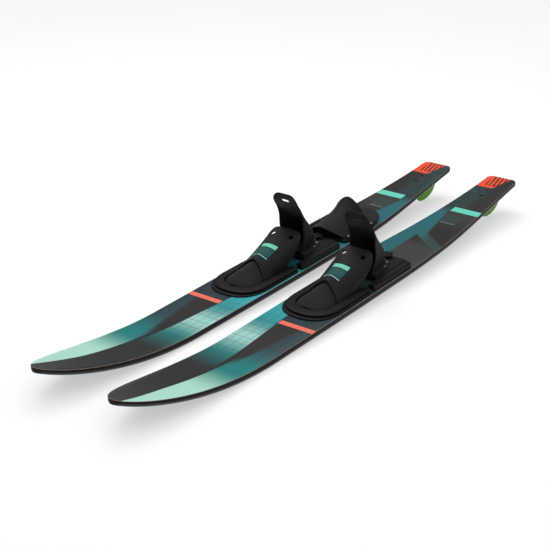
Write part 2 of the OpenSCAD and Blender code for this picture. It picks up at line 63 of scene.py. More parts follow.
MM = 0.001
SIDES = {"right": -1, "left": 1}
SKI_LEN = 1700
NOSE = 0.6               # the CAD ski starts this far behind the tip
SKI_T = 19
DECK = SKI_T
SHEET_T = 1.2
SHOULDER_W = 76
WAIST_GROW = 4           # the half width gains this much from the shoulder to the bindings
TAIL_NARROW = 34
TIP_ROUND = 376          # length of the tip's rounded plan
TIP_CURVE = 450
TIP_RISE = 81
TIP_THIN = 5.3
TAIL_START = 1230
TAIL_RISE = 29
TAIL_THIN = 4.4
TAIL_CORNER = 16
TOE_FRONT = 628
TOE_LEN = 222
TOE_W = 76
TOE_BOW = 95             # depth of the toe plate's rounded front
TOE_CORNER = 12
PLATE_TOP = DECK + 4
RING_W = TOE_W - 5
RING_BOW = 84
RING_T = 4
RING_BOTTOM = PLATE_TOP + 3
OPENING_W = 50.6
OPENING_BOW = 56
SKIN = 3
BOX_W = 49.4
BOX_REAR_W = 45.6
STRAP_W = 49.3
STRAP_BULGE = 4.2
STRAP_H = 78
STRAP_REAR = 904
FINGER_R = 7
BOW_CENTRE = TOE_FRONT + TOE_BOW
TOE_REAR = TOE_FRONT + TOE_LEN
SLIDE_TOP = DECK + 12
SLIDE_FRONT = 908
SLIDE_LEN = 140
CUFF_BACK = SLIDE_FRONT + 100
CUFF_H = 174
CUFF_W = 33
CUFF_DEEP = 93
CUFF_LEAN = 119
PULL = 0.89              # the pull slot's share of the cuff's height
REAR_FRONT = 1068
REAR_TOP = DECK + 6
REAR_SKIN = 3.5
HOOD_H = 77
HOOD_W = 60
HOOD_REAR_W = 53.6
TONGUE_W = 56
FIN_AT = 1620
FIN_LEN = 132
FIN_DEPTH = 70
FIN_T = 7
TUNNEL = 3
FIN_BOLTS = (-58, -19, 22)
FIN_FOOT_W = 13
FIN_FOOT_LEN = FIN_LEN / 2 + 4
WELL_R = 4.7
PAD_T = 3.4
PAD_VOXEL = 2.2
CUT = 20                 # cutters reach this far each way through a sheet
CLOTH_PRESSURE = 4
CLOTH_FRAMES = 20

centre = {name: sum(corner.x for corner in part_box(f"ski_core_{name}")) / 2 / MM for name in SIDES}
tip_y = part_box("top_sheet_left")[0].y / MM - NOSE
base_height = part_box("toe_base_plate_left")[0].z / MM - DECK


def mix(a, b, t):
    return a + (b - a) * t


def ease(x):
    t = np.clip(x, 0, 1)
    return t * t * (3 - 2 * t)


def over(x):
    return np.maximum(x, 0)


def bow(x, power):
    return np.sign(x) * np.abs(x) ** power


def to_world(side, points):
    """Points (u, s, z) in millimetres on a ski as metres in the frame."""
    shift = np.array([centre[side], tip_y, base_height])
    return (np.asarray(points, float) + shift) * MM


# ------------------------------------------------------------------ meshes


def make(name, verts, faces, mats, body, picks=None, smooth=40):
    """A mesh piece. `picks` gives each face's place in the list of materials."""
    mesh = bpy.data.meshes.new(name)
    mesh.from_pydata([tuple(v) for v in verts], [], [tuple(f) for f in faces])
    mesh.validate()
    obj = bpy.data.objects.new(name, mesh)
    bpy.context.scene.collection.objects.link(obj)
    mats = mats if isinstance(mats, (list, tuple)) else [mats]
    for mat in mats:
        mesh.materials.append(mat)
    if picks is not None:
        mesh.polygons.foreach_set("material_index", list(picks))
    fix_normals(mesh)
    mesh.shade_smooth()
    mesh.set_sharp_from_angle(angle=math.radians(smooth))
    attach(obj, body)
    return obj


def fix_normals(mesh):
    bm = bmesh.new()
    bm.from_mesh(mesh)
    bmesh.ops.remove_doubles(bm, verts=bm.verts, dist=1e-6)
    bmesh.ops.recalc_face_normals(bm, faces=bm.faces)
    bm.to_mesh(mesh)
    bm.free()


def grid_faces(rows, cols, start=0, wrap=False):
    """Faces of a rows x cols grid of points, closed across when `wrap` is true."""
    span = cols if wrap else cols - 1
    faces = []
    for i in range(rows - 1):
        for j in range(span):
            a, b = start + i * cols + j, start + i * cols + (j + 1) % cols
            faces.append((a, b, b + cols, a + cols))
    return faces


def loft(side, rings, name, mats, body, pick=None, smooth=40):
    """Closed solid through rings of (u, s, z) points, with flat ends. `pick` gives a face's
    place in the list of materials from its place around the ring."""
    rings = np.asarray(rings, float)
    rows, cols = rings.shape[:2]
    faces = grid_faces(rows, cols, wrap=True)
    faces += [tuple(range(cols))[::-1], tuple(range((rows - 1) * cols, rows * cols))]
    picks = [pick(n % cols) for n in range(len(faces))] if pick else None
    return make(name, to_world(side, rings.reshape(-1, 3)), faces, mats, body, picks, smooth)


def normals(grid):
    """Unit normals of a grid of points, by differences along its rows and columns."""
    along = np.gradient(grid, axis=0)
    across = np.gradient(grid, axis=1)
    n = np.cross(across, along)
    return n / np.maximum(np.linalg.norm(n, axis=2, keepdims=True), 1e-9)


def rim_loop(rows, cols):
    """The grid's border as (row, column) pairs in order, and each one's inner neighbour."""
    top = [((0, j), (1, j)) for j in range(cols)]
    right = [((i, cols - 1), (i, cols - 2)) for i in range(1, rows)]
    low = [((rows - 1, j), (rows - 2, j)) for j in range(cols - 2, -1, -1)]
    left = [((i, 0), (i, 1)) for i in range(rows - 2, 0, -1)]
    return top + right + low + left


def shell_parts(grid, wall, bead=0.0):
    """Vertices and faces of a closed sheet: `grid` is its outer face, with a rounded rim.
    `bead` thickens the rim by that much on each face."""
    rows, cols = grid.shape[:2]
    n = normals(grid)
    inner = grid - n * wall
    if bead:
        edge = np.minimum.outer(np.minimum(np.arange(rows), np.arange(rows)[::-1]),
                                np.minimum(np.arange(cols), np.arange(cols)[::-1]))
        lift = bead * np.clip(1.5 - edge * 0.5, 0, 1)[..., None]
        grid = grid + n * lift
        inner = inner - n * lift
    loop = rim_loop(rows, cols)
    border = np.array([grid[at] for at, _ in loop])
    back = np.array([inner[at] for at, _ in loop])
    away = border - np.array([grid[near] for _, near in loop])
    out = np.cross(np.roll(border, -1, axis=0) - np.roll(border, 1, axis=0), [n[at] for at, _ in loop])
    out = out / np.maximum(np.linalg.norm(out, axis=1, keepdims=True), 1e-9)
    out = out * np.sign(np.sum(out * away))
    middle = (border + back) / 2 + out * (wall / 2 + bead) * 0.8
    verts = np.concatenate([grid.reshape(-1, 3), inner.reshape(-1, 3), middle])
    faces = grid_faces(rows, cols)
    faces += [f[::-1] for f in grid_faces(rows, cols, rows * cols)]
    first = 2 * rows * cols
    for n_at, ((i, j), _) in enumerate(loop):
        (k, m), _ = loop[(n_at + 1) % len(loop)]
        a, b = i * cols + j, k * cols + m
        c, d = first + n_at, first + (n_at + 1) % len(loop)
        faces.append((a, c, d, b))
        faces.append((c, a + rows * cols, b + rows * cols, d))
    return verts, faces


def shell(side, grid, wall, name, mats, body, extra=(), bead=0.0):
    """A closed sheet with rounded rims, plus any extra (verts, faces) islands."""
    verts, faces = shell_parts(grid, wall, bead)
    verts, faces = list(verts), list(faces)
    for more_verts, more_faces in extra:
        shift = len(verts)
        verts += list(more_verts)
        faces += [tuple(i + shift for i in f) for f in more_faces]
    obj = make(name, to_world(side, verts), faces, mats, body, smooth=60)
    subdivide(obj)
    return obj


def subdivide(obj):
    mod = obj.modifiers.new("subdivision", "SUBSURF")
    mod.levels = 1
    mod.render_levels = 1


def apply_modifiers(obj):
    graph = bpy.context.evaluated_depsgraph_get()
    mesh = bpy.data.meshes.new_from_object(obj.evaluated_get(graph))
    old = obj.data
    obj.modifiers.clear()
    obj.data = mesh
    bpy.data.meshes.remove(old)


def cut(obj, side, cutters):
    """Takes closed (verts, faces) shapes, given in (u, s, z), out of a piece."""
    for verts, faces in cutters:
        mesh = bpy.data.meshes.new("cutter")
        mesh.from_pydata([tuple(v) for v in to_world(side, verts)], [], faces)
        fix_normals(mesh)
        tool = bpy.data.objects.new("cutter", mesh)
        bpy.context.scene.collection.objects.link(tool)
        mod = obj.modifiers.new("cut", "BOOLEAN")
        mod.object = tool
        mod.solver = "EXACT"
        bpy.context.view_layer.update()
        apply_modifiers(obj)
        bpy.data.objects.remove(tool)
        bpy.data.meshes.remove(mesh)
    obj.data.shade_smooth()
    obj.data.set_sharp_from_angle(angle=math.radians(40))


def prism(outline, low, high, turn=None, at=(0, 0, 0)):
    """Closed prism of a flat outline, turned by a matrix and moved to `at`."""
    verts = [(x, y, z) for z in (low, high) for x, y in outline]
    if turn is not None:
        verts = [tuple(turn @ Vector(v)) for v in verts]
    verts = [tuple(np.add(v, at)) for v in verts]
    return verts, prism_faces(len(outline))


def prism_faces(n):
    """Faces between two rings of n points, low then high, and over both ends."""
    ends = [tuple(range(n))[::-1], tuple(range(n, 2 * n))]
    return ends + [(i, (i + 1) % n, n + (i + 1) % n, n + i) for i in range(n)]


def circle(r, count=24, at=(0, 0)):
    return [(at[0] + r * math.cos(2 * math.pi * i / count), at[1] + r * math.sin(2 * math.pi * i / count))
            for i in range(count)]


def stadium(half_length, r):
    """Outline of a slot with round ends, long in x."""
    turn = np.linspace(-math.pi / 2, math.pi / 2, 10)
    right = [(half_length + r * math.cos(a), r * math.sin(a)) for a in turn]
    left = [(-x, -y) for x, y in right]
    return right + left


def inflate(obj, cap, pinned=None):
    """Swells a piece by cloth pressure. No point moves further than `cap` millimetres."""
    scene = bpy.context.scene
    start = np.empty(len(obj.data.vertices) * 3)
    obj.data.vertices.foreach_get("co", start)
    mod = obj.modifiers.new("cloth", "CLOTH")
    mod.settings.quality = 5
    mod.settings.use_pressure = True
    mod.settings.uniform_pressure_force = CLOTH_PRESSURE
    mod.settings.effector_weights.gravity = 0
    mod.point_cache.frame_end = CLOTH_FRAMES
    if pinned:
        group = obj.vertex_groups.new(name="pinned")
        group.add(list(pinned), 1.0, "REPLACE")
        mod.settings.vertex_group_mass = "pinned"
    for number in range(1, CLOTH_FRAMES + 1):
        scene.frame_set(number)
    swollen = np.empty_like(start)
    graph = bpy.context.evaluated_depsgraph_get()
    obj.evaluated_get(graph).data.vertices.foreach_get("co", swollen)
    move = (swollen - start).reshape(-1, 3)
    far = np.maximum(np.linalg.norm(move, axis=1, keepdims=True) / (cap * MM), 1)
    obj.data.vertices.foreach_set("co", (start.reshape(-1, 3) + move / far).ravel())
    obj.modifiers.remove(mod)
    obj.vertex_groups.clear()
    scene.frame_set(1)


# ------------------------------------------------------------------ node materials


def rgb(r, g, b):
    """A screen colour, 0 to 255, as linear values."""
    parts = [c / 255 for c in (r, g, b)]
    return tuple(c / 12.92 if c <= 0.04045 else ((c + 0.055) / 1.055) ** 2.4 for c in parts) + (1.0,)


class Value:
    """A node socket that takes arithmetic."""

    def __init__(self, paint, socket):
        self.paint = paint
        self.socket = socket

    def __add__(self, other):
        return self.paint.math("ADD", self, other)

    def __radd__(self, other):
        return self.paint.math("ADD", other, self)

    def __sub__(self, other):
        return self.paint.math("SUBTRACT", self, other)

    def __rsub__(self, other):
        return self.paint.math("SUBTRACT", other, self)

    def __mul__(self, other):
        return self.paint.math("MULTIPLY", self, other)


class Paint:
    """A procedural material. x, y and z are places in the frame in millimetres."""

    def __init__(self, name):
        self.material = bpy.data.materials.new(name)
        self.material.use_nodes = True
        self.tree = self.material.node_tree
        self.tree.nodes.clear()
        out = self.tree.nodes.new("ShaderNodeOutputMaterial")
        self.shader = self.tree.nodes.new("ShaderNodeBsdfPrincipled")
        self.tree.links.new(self.shader.outputs["BSDF"], out.inputs["Surface"])
        self.place = self.tree.nodes.new("ShaderNodeTexCoord").outputs["Object"]
        split = self.tree.nodes.new("ShaderNodeSeparateXYZ")
        self.tree.links.new(self.place, split.inputs[0])
        self.x, self.y, self.z = (Value(self, out) * (1 / MM) for out in split.outputs)

    def put(self, socket, value):
        if isinstance(value, Value):
            self.tree.links.new(value.socket, socket)
        else:
            socket.default_value = value

    def math(self, op, *values):
        node = self.tree.nodes.new("ShaderNodeMath")
        node.operation = op
        for socket, value in zip(node.inputs, values):
            self.put(socket, value)
        return Value(self, node.outputs[0])

    def rise(self, x, start, end):
        """0 before start and 1 after end, with a smooth step between."""
        node = self.tree.nodes.new("ShaderNodeMapRange")
        node.interpolation_type = "SMOOTHSTEP"
        self.put(node.inputs["Value"], x)
        self.put(node.inputs["From Min"], start)
        self.put(node.inputs["From Max"], end)
        return Value(self, node.outputs["Result"])

    def edge(self, x, at, soft=0.5):
        return self.rise(x - at, -soft, soft)

    def band(self, x, start, end, soft=0.5):
        return self.edge(x, start, soft) * (1 - self.edge(x, end, soft))

    def lines(self, x, pitch, width, soft=0.35):
        """1 on thin lines a pitch apart."""
        away = self.math("PINGPONG", x, pitch / 2)
        return 1 - self.edge(away, width / 2, soft)

    def mix(self, share, a, b):
        node = self.tree.nodes.new("ShaderNodeMix")
        node.data_type = "RGBA"
        self.put(node.inputs[0], share)
        self.put(node.inputs[6], a)
        self.put(node.inputs[7], b)
        return Value(self, node.outputs[2])

    def stretched(self, sx, sy, sz):
        node = self.tree.nodes.new("ShaderNodeMapping")
        self.tree.links.new(self.place, node.inputs["Vector"])
        node.inputs["Scale"].default_value = (sx, sy, sz)
        return node.outputs["Vector"]

    def noise(self, size, detail=3, vector=None):
        """Noise with features about `size` millimetres across, 0 to 1."""
        node = self.tree.nodes.new("ShaderNodeTexNoise")
        self.tree.links.new(vector or self.place, node.inputs["Vector"])
        node.inputs["Scale"].default_value = 1 / (size * MM)
        node.inputs["Detail"].default_value = detail
        return Value(self, node.outputs[0])

    def cells(self, size):
        node = self.tree.nodes.new("ShaderNodeTexVoronoi")
        self.tree.links.new(self.place, node.inputs["Vector"])
        node.inputs["Scale"].default_value = 1 / (size * MM)
        return Value(self, node.outputs["Distance"])

    def wave(self, x, pitch):
        """A sine over x, from 0 to 1."""
        return self.math("SINE", x * (2 * math.pi / pitch)) * 0.5 + 0.5

    def finish(self, color, rough, height=None, depth=0.1, coat=0.0, metal=0.0, sheen=0.0, spec=0.5):
        """Sets the shader. `depth` is the bump's depth in millimetres."""
        values = {"Base Color": color, "Roughness": rough, "Coat Weight": coat, "Metallic": metal,
                  "Sheen Weight": sheen, "Specular IOR Level": spec}
        for name, value in values.items():
            self.put(self.shader.inputs[name], value)
        self.shader.inputs["Coat Roughness"].default_value = 0.12
        if height is not None:
            bump = self.tree.nodes.new("ShaderNodeBump")
            bump.inputs["Strength"].default_value = 1.0
            bump.inputs["Distance"].default_value = depth * MM
            self.put(bump.inputs["Height"], height)
            self.tree.links.new(bump.outputs["Normal"], self.shader.inputs["Normal"])
        return self.material


CHARCOAL = rgb(38, 40, 42)
BROWN = rgb(34, 30, 28)
SLATE = rgb(34, 60, 68)
TEAL = rgb(22, 122, 120)
DEEP_TEAL = rgb(28, 96, 102)
MINT = rgb(172, 222, 204)
PALE_MINT = rgb(162, 212, 204)
BRIGHT_MINT = rgb(98, 206, 182)
TURQUOISE = rgb(50, 156, 162)
CORAL = rgb(240, 112, 88)
ORANGE = rgb(236, 76, 34)

# where the printed fields lie, as distances from the tip
GRID = (395, 640)
CORAL_BAR = (583, 600)
FRONT_BLOCK_END = 1237
REAR_BLOCK = (1260, 1424)
INSET = (1346, 1404)
MINT_BAR = (1427, 1456)
TAIL_FIELD = 1457
TAIL_BLOCK = 1620
CRISP = 0.8              # half the softness of a printed edge


def inner_band(p, o, s):
    """The band from the shovel to the toe piece, with its thin grid."""
    band = p.mix(p.rise(s, 290, 440), CHARCOAL, TEAL)
    band = p.mix(p.band(s, 445, 530, 60), band, PALE_MINT)
    band = p.mix(p.rise(s, 520, 640), band, TURQUOISE)
    band = p.mix(p.rise(s, 820, 1050), band, DEEP_TEAL)
    inside = p.band(s, *GRID, 12)
    cross = p.lines((s - GRID[1]) * 0.88, 28, 1.6) * inside
    length = p.lines(o + 3 - (s - 500) * 0.01, 20, 1.3) * inside
    return p.mix(p.math("MAXIMUM", cross, length) * 0.7, band, rgb(20, 84, 92))


def shovel_print(p, o, s):
    """Ahead of the heel: the inner band, a dark wedge along the middle and the outer field."""
    split = p.edge(o + (s - 382) * 0.083, -4, 1.2)
    color = p.mix((1 - split) * p.rise(s, 285, 330), CHARCOAL, inner_band(p, o, s))
    wedge = split * (1 - p.rise(o - (s - 380) * 0.1, 12, 30))
    color = p.mix(wedge * p.rise(s, 250, 420), color, BROWN)
    field = p.mix(p.rise(s, 190, 330), MINT, TEAL)
    field = p.mix(p.rise(s, 340, 480), field, SLATE)
    field = p.mix(p.rise(s, 640, 900), field, rgb(36, 48, 52))
    line = 9 + (1 - p.rise(s, 0, 170)) * 10
    outer = p.mix(p.rise(s, 300, 420), p.edge(o, line, CRISP), p.rise(o - (s - 330) * 0.14, 6, 22))
    color = p.mix(outer, color, field)
    return p.mix(p.band(s, 600, 870) * p.edge(o, -18, CRISP), color, rgb(34, 50, 56))


def rear_print(p, color, o, s):
    """Behind the heel: dark blocks on the outer side of a teal band."""
    band = p.mix(p.rise(o, -20, 24) * 0.85, DEEP_TEAL, rgb(46, 58, 58))
    color = p.mix(p.edge(s, 860, 30) * (1 - p.rise(s, 1400, 1470)), color, band)
    front = p.edge(o, -27, CRISP) * (1 - p.edge(s + (o + 26) * 0.82, FRONT_BLOCK_END, 1.5))
    shade = p.mix(p.rise(s, 1150, 1230), rgb(54, 56, 54), BROWN)
    color = p.mix(front * p.edge(s, 905, 20), color, shade)
    start, end = REAR_BLOCK
    rear = p.edge(s + (o + 6) * 0.8, start, 9)
    rear = rear * p.edge(o, p.math("MULTIPLY_ADD", s - start, -0.17, -6), 1) * (1 - p.edge(s, end, 1))
    color = p.mix(rear, color, p.mix(p.rise(s, 1290, 1400), BROWN, rgb(50, 48, 44)))
    color = p.mix(p.band(s, *INSET, 1) * p.band(o, -22, 30, 1) * 0.5, color, rgb(40, 70, 66))
    return p.mix(p.band(s, 1345, 1350, 1.5) * p.band(o, -16, 29, 2), color, rgb(84, 110, 108))


def tail_print(p, color, grain, o, s):
    """Charcoal tail with teal speckle on its inner half."""
    speckle = p.band(o, -200, 4, 14) * p.edge(grain, 0.5, 0.12) * 0.8
    return p.mix(p.edge(s, TAIL_FIELD, 1), color, p.mix(speckle, rgb(36, 33, 31), rgb(22, 72, 76)))


def bars_print(p, color, u, o, s):
    """A coral bar ahead of the toe, a mint one at the tail, and a block of plain slanted stripes."""
    dots = p.lines(o + 20, 18, 2.2) * p.band(s, 590, 593, 0.4)
    bar = p.band(s, *CORAL_BAR) * p.edge(o, -20, 0.5)
    color = p.mix(bar, color, p.mix(dots * 0.8, CORAL, rgb(90, 40, 36)))
    color = p.mix(p.band(s, *MINT_BAR) * p.edge(o, -28, 0.5), color, BRIGHT_MINT)
    block = p.edge(s, TAIL_BLOCK, 0.6) * (1 - p.edge(u - (s - TAIL_BLOCK - 2) * 0.28, 4, CRISP))
    stripes = p.lines(u + s * 0.14, 12, 5) * p.edge(u, -30, 1) * p.edge(s, TAIL_BLOCK + 12, 1)
    return p.mix(block, color, p.mix(stripes, ORANGE, rgb(70, 34, 30)))


def deck_paint(side):
    """The printed top sheet: colour fields by outward place o and distance from the tip s."""
    p = Paint(f"printed_deck_{side}")
    u = p.x - centre[side]
    o = u * SIDES[side]
    s = p.y - tip_y
    soft = p.noise(60, 2)
    color = shovel_print(p, o, s)
    color = rear_print(p, color, o, s)
    color = tail_print(p, color, p.noise(5, 4), o, s)
    color = bars_print(p, color, u, o, s)
    wear = p.noise(2.2, 5, p.stretched(1, 0.08, 1))
    color = p.mix(p.rise(wear, 0.66, 0.8) * 0.08, color, rgb(200, 200, 200))
    rough = 0.3 + soft * 0.08 + p.rise(wear, 0.6, 0.8) * 0.12
    return p.finish(color, rough, p.noise(1.2, 3) + soft, 0.03, coat=0.08, spec=0.18)


def sidewall_paint():
    p = Paint("ski_sidewall")
    streak = p.noise(3, 4, p.stretched(1, 0.05, 1.5))
    color = p.mix(p.rise(streak, 0.35, 0.7), rgb(14, 11, 10), rgb(28, 21, 19))
    return p.finish(color, 0.5 + streak * 0.15, streak, 0.08, spec=0.12)


# Painted highlight: a pale colour for the top sheet's rounded edges, standing in for the light they catch.
def edge_highlight_paint():
    p = Paint("deck_edge_highlight")
    highlight_tone = p.noise(4, 3, p.stretched(1, 0.2, 1))
    return p.finish(p.mix(highlight_tone, rgb(120, 98, 84), rgb(182, 158, 140)), 0.45, highlight_tone, 0.02)


def base_paint():
    p = Paint("running_base")
    scratch = p.noise(1.5, 4, p.stretched(1, 0.03, 1))
    color = p.mix(p.rise(scratch, 0.55, 0.75), rgb(30, 31, 34), rgb(52, 54, 58))
    color = p.mix(p.noise(90, 2) * 0.4, color, rgb(24, 40, 44))
    return p.finish(color, 0.3 + p.rise(scratch, 0.5, 0.8) * 0.2, scratch, 0.04, coat=0.1, spec=0.3)


def fin_paint():
    p = Paint("fin_plastic")
    flow = p.noise(30, 3)
    color = p.mix(flow, rgb(68, 134, 4), rgb(88, 158, 10))
    return p.finish(color, 0.34 + p.noise(2, 2) * 0.1, p.noise(1.6, 4), 0.03, spec=0.12)


def hard_paint():
    p = Paint("hard_plastic")
    grain = p.cells(1.1)
    tone = p.noise(25, 3)
    color = p.mix(tone, rgb(12, 12, 13), rgb(24, 24, 25))
    worn = p.rise(p.noise(5, 5), 0.64, 0.74)
    color = p.mix(worn * 0.25, color, rgb(74, 74, 76))
    return p.finish(color, 0.42 + tone * 0.14, grain + p.noise(0.7, 2) * 0.5, 0.05, spec=0.1)


def rubber_paint():
    p = Paint("moulded_rubber")
    tone = p.noise(18, 4)
    color = p.mix(tone, rgb(14, 14, 15), rgb(27, 27, 28))
    color = p.mix(p.rise(p.noise(3, 5), 0.62, 0.75) * 0.2, color, rgb(72, 71, 70))
    return p.finish(color, 0.55 + tone * 0.12, p.noise(1.1, 4) + p.noise(6, 2), 0.08, sheen=0.02, spec=0.16)


def strap_paint(side):
    """Rubber strap with printed cross bands over the instep."""
    p = Paint(f"strap_print_{side}")
    u = p.x - centre[side]
    s = p.y - tip_y
    tone = p.noise(18, 4)
    color = p.mix(tone, rgb(16, 17, 18), rgb(29, 30, 31))
    along = s - u * u * 0.004
    over_top = 1 - p.edge(p.math("ABSOLUTE", u), 23, 1)
    dark = p.mix(p.lines(along, 4.2, 1.5, 0.4), rgb(14, 34, 37), rgb(40, 128, 126))
    color = p.mix(p.band(along, 781, 808, 0.6) * over_top, color, dark)
    pale = rgb(150, 205, 200)
    color = p.mix(p.band(along, 774.5, 777, 0.4) * over_top, color, pale)
    weave = p.lines(u + along * 0.6, 7, 1.4, 0.5)
    mint = p.mix(weave * 0.55, rgb(118, 212, 184), rgb(40, 110, 104))
    color = p.mix(p.band(along, 812, 826, 0.6) * over_top, color, mint)
    return p.finish(color, 0.52 + tone * 0.12, p.noise(1.1, 4) + p.noise(6, 2), 0.06, sheen=0.02, spec=0.16)


def fabric_paint():
    """Coated knit: fine ribs crossed by a looser thread."""
    p = Paint("upper_fabric")
    rib = p.wave(p.x + p.y * 0.5, 1.5) * p.wave(p.y - p.x * 0.5, 1.5)
    tone = p.noise(22, 3)
    color = p.mix(rib, rgb(25, 25, 26), rgb(46, 46, 47))
    color = p.mix(tone * 0.5, color, rgb(36, 36, 38))
    return p.finish(color, 0.72 + rib * 0.1, rib + tone, 0.12, sheen=0.04, spec=0.12)


def foam_paint():
    p = Paint("closed_cell_foam")
    cell = p.cells(1.6)
    color = p.mix(p.rise(cell, 0.1, 0.5), rgb(26, 26, 28), rgb(50, 50, 53))
    return p.finish(color, 0.85, cell, 0.15, sheen=0.02, spec=0.12)


def metal_paint(name, low, high, rough):
    p = Paint(name)
    brush = p.noise(0.6, 4, p.stretched(1, 1, 0.15))
    color = p.mix(brush, rgb(*low), rgb(*high))
    return p.finish(color, rough + brush * 0.15, brush, 0.02, metal=1.0)


MATS = {
    "core": sidewall_paint(),
    "base_laminate": base_paint(),
    "fin": fin_paint(),
    "hard_plastic": hard_paint(),
    "rubber": rubber_paint(),
    "upper_fabric": fabric_paint(),
    "foam": foam_paint(),
    "steel": metal_paint("stainless_steel", (150, 150, 153), (205, 205, 208), 0.24),
    "black_steel": metal_paint("blackened_steel", (34, 34, 36), (58, 58, 60), 0.35),
    "brass": metal_paint("turned_brass", (170, 130, 62), (214, 178, 98), 0.3),
}
# the top sheet's edge faces take the painted highlight
EDGE_HIGHLIGHT = edge_highlight_paint()
DECK_MATS = {side: deck_paint(side) for side in SIDES}
MATS["printed_deck"] = DECK_MATS["left"]

# ------------------------------------------------------------------ skis


def half_width(s):
    corner = over(s - SKI_LEN + TAIL_CORNER)
    shape = SHOULDER_W + WAIST_GROW * ease((s - 300) / 500) - TAIL_NARROW * ease((s - 1000) / 750)
    tip = np.sqrt(1 - over(1 - s / TIP_ROUND) ** 2.39)
    return shape * tip - (TAIL_CORNER - np.sqrt(TAIL_CORNER ** 2 - corner ** 2))


def deck_z(s):
    tail = over(s - TAIL_START) / (SKI_LEN - TAIL_START)
    return DECK + TIP_RISE * over(1 - s / TIP_CURVE) ** 1.87 + TAIL_RISE * tail ** 1.66


def body_t(s):
    return SKI_T - TIP_THIN * over(1 - s / TIP_CURVE) ** 1.5 - TAIL_THIN * ease((s - 1200) / 500)


def stations():
    tip = NOSE + (TIP_CURVE - NOSE) * np.linspace(0, 1, 60) ** 1.9
    middle = np.linspace(TIP_CURVE, SKI_LEN - TAIL_CORNER, 110)[1:]
    corner = SKI_LEN - TAIL_CORNER * (1 - np.sin(np.linspace(0, math.pi / 2, 12)[1:]))
    return np.concatenate([tip, middle, corner])


STATIONS = stations()


def ski_rings(points_at):
    """Rings of (u, s, z): points_at(s, w) gives the section's (u, z) points."""
    return [[(u, s, z) for u, z in points_at(s, max(half_width(s), 0.2))] for s in STATIONS]


def deck_section(s, w):
    """Top sheet: flat over the deck, rounding over its edges, which carry a painted pale highlight."""
    top = deck_z(s)
    r = min(1.1, w * 0.3)
    across = [u * (w - r) for u in np.linspace(-1, 1, 9)]
    upper = [(-w, top - r), (-w + 0.3 * r, top - 0.3 * r)] + [(u, top) for u in across]
    upper += [(w - 0.3 * r, top - 0.3 * r), (w, top - r)]
    return upper + [(w, top - SHEET_T), (-w, top - SHEET_T)]


def bevel_at(w):
    return min(6, w * 0.3)


def base_profile(s, w):
    """The base's outer face from edge to edge, with a rounded bevel and the tunnel."""
    b = bevel_at(w)
    deep = TUNNEL * ease((s - 120) / 200)
    lip, roof = min(26, w * 0.55), min(15, w * 0.3)
    arc = [(w - b + b * math.sin(a), b - b * math.cos(a)) for a in np.linspace(math.pi / 2, 0, 5)]
    wall = [(mix(lip, roof, t), deep * ease(t)) for t in np.linspace(0, 1, 5)]
    half = arc + wall
    return [(-u, z) for u, z in half] + [(u, z) for u, z in half[::-1]]


def core_section(s, w):
    low = under_z(s) + SHEET_T
    side_top = deck_z(s) - SHEET_T
    under = [(u, low + z) for u, z in base_profile(s, w)]
    return [(w, side_top), (-w, side_top)] + under


def base_section(s, w):
    low = under_z(s)
    outer = [(u, low + z) for u, z in base_profile(s, w)]
    inner = [(u, z + SHEET_T) for u, z in outer[::-1]]
    return outer + inner


def under_z(s):
    """Height of the ski's underside beside the tunnel."""
    return deck_z(s) - body_t(s)


def fin_tilt():
    reach = 30
    return math.atan((under_z(FIN_AT + reach) - under_z(FIN_AT - reach)) / (2 * reach))


def fin_point(u, along, height):
    """A point in the fin's own tilted frame as (u, s, z)."""
    a = fin_tilt()
    root = under_z(FIN_AT) + TUNNEL
    return (u, FIN_AT + along * math.cos(a) - height * math.sin(a),
            root + along * math.sin(a) + height * math.cos(a))


def well(along, r, low, high):
    """Closed round cutter along the fin screws' direction."""
    ring = circle(r, 28)
    verts = [fin_point(x, along + y, h) for h in (low, high) for x, y in ring]
    return verts, prism_faces(len(ring))


def build_ski(side):
    body = f"{side}_ski"
    seat = body_t(FIN_AT) - TUNNEL - 5
    cutters = [well(along, WELL_R, seat, seat + 30) for along in FIN_BOLTS]

    # faces over the top sheet's edges take the painted highlight
    def deck_face(column):
        return 1 if column in (0, 11, 12) else 0

    deck = loft(side, ski_rings(deck_section), f"ski_top_sheet_{side}", [DECK_MATS[side], EDGE_HIGHLIGHT],
                body, pick=deck_face)
    core = loft(side, ski_rings(core_section), f"ski_sidewall_{side}", MATS["core"], body)
    base = loft(side, ski_rings(base_section), f"ski_base_{side}", MATS["base_laminate"],
                body)
    cut(deck, side, cutters)
    cut(core, side, cutters)
    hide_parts(f"top_sheet_{side}")
    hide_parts(f"ski_core_{side}")
    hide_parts(f"base_sheet_{side}")


# ------------------------------------------------------------------ fins


def build_fin(side):
    """Half-moon blade with a foiled section, and a foot plate with an eased edge."""
    rows, cols = 26, 40
    rings = []
    for i in range(rows):
        deep = i / (rows - 1)
        ring = []
        for j in range(cols):
            a = 2 * math.pi * j / cols
            reach = FIN_LEN / 2 * max(1 - deep ** 2.6, 0.0004) ** 0.42
            along = reach * math.cos(a)
            thin = FIN_T / 2 * (1 - 0.45 * deep) * min(1, max(1 - deep, 0.01) * 5) ** 0.5
            across = thin * abs(math.sin(a)) ** 0.8 * (1 if math.sin(a) >= 0 else -1)
            ring.append(fin_point(across, along, -TUNNEL - FIN_DEPTH * deep))
        rings.append(ring)
    blade = loft(side, rings, f"fin_blade_{side}", MATS["fin"], f"{side}_ski", smooth=50)
    foot = []
    for h, grow in ((-0.1, 0), (-2.4, 0), (-3, -0.8)):
        outline = rounded_box(FIN_FOOT_W + grow, FIN_FOOT_LEN + grow)
        foot.append([fin_point(x, y, h) for x, y in outline])
    loft(side, foot, f"fin_foot_{side}", MATS["fin"], f"{side}_ski", smooth=50)
    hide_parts(f"fin_{side}")


